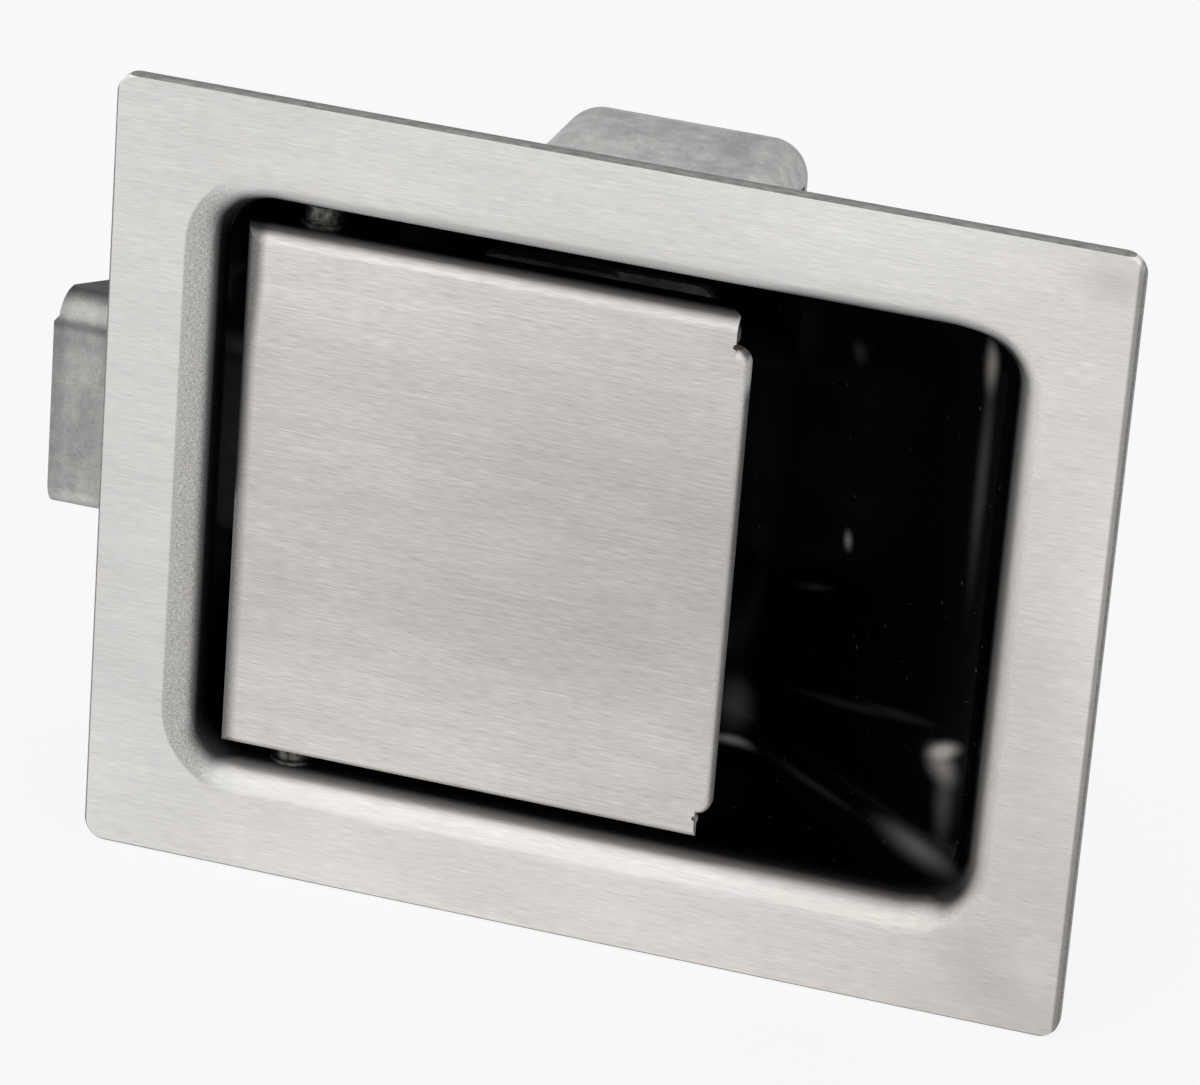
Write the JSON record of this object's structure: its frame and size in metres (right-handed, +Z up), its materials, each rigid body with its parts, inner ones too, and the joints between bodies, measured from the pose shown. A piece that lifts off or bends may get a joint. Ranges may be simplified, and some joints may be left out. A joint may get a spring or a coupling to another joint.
{
  "type": "flush paddle latch",
  "caption": "Flush paddle latch: a deep recessed pan with a spring-closed pull paddle that draws a bevelled slam bolt sideways, held to a door skin by a rear clamp strap.",
  "frame": {"origin": "centre of the gasket's back face, in the plane of the door skin's outer face", "axes": "+X from the bolt towards the finger pocket, +Y through the door away from the user, +Z up; the bolt points along -X"},
  "size_m": [0.153, 0.054, 0.1142],
  "materials": {
    "pan_stainless": "horizontally brushed stainless, darker and grained in the drawn radius",
    "paddle_stainless": "horizontally brushed stainless with a few brighter scratches",
    "galvanised_steel": "dull mottled zinc",
    "plated_steel": "bright zinc plate",
    "spring_wire": "drawn spring wire",
    "black_rubber": "matt black rubber"
  },
  "bodies": {
    "latch_pan": {"pan": "pan_stainless", "pivot_pin": "plated_steel", "pivot_pin_clips": "spring_wire", "lower_pivot_washer": "plated_steel", "lower_pivot_spacer": "plated_steel", "upper_pivot_spacer": "plated_steel", "paddle_spring": "spring_wire", "bolt_stop_bumpers": "black_rubber", "bolt_guide_plate": "galvanised_steel", "bolt_guide_bridge": "galvanised_steel", "guide_rivets": "plated_steel", "upper_guide_rod": "plated_steel", "lower_guide_rod": "plated_steel", "upper_bolt_spring": "spring_wire", "lower_bolt_spring": "spring_wire", "clamp_bracket": "galvanised_steel", "clamp_stud": "plated_steel", "clamp_flat_washer": "plated_steel", "clamp_lock_washer": "plated_steel", "clamp_nut": "plated_steel", "flange_gasket": "black_rubber"},
    "pull_paddle": {"paddle": "paddle_stainless", "throw_bar": "plated_steel", "throw_bar_clips": "spring_wire", "upper_pivot_washer": "plated_steel"},
    "latch_bolt": {"slam_bolt": "galvanised_steel"}
  },
  "joints": [
    {"name": "paddle_hinge", "type": "hinge", "parent": "latch_pan", "child": "pull_paddle", "pos_m": [-0.042, 0.0034, 0], "axis": [0, 0, -1], "range_deg": [0, 34], "stiffness_Nm_per_rad": 0.5, "springref_deg": -28.65, "deforming": ["paddle_spring"]},
    {"name": "bolt_slide", "type": "slide", "parent": "latch_pan", "child": "latch_bolt", "axis": [1, 0, 0], "range_m": [0, 0.01394], "stiffness_N_per_m": 400, "springref_m": -0.01, "deforming": ["upper_bolt_spring", "lower_bolt_spring"]}
  ],
  "couplings": [
    {"joint": "paddle_hinge", "follows": "bolt_slide", "rad_per_m": 42.553}
  ]
}
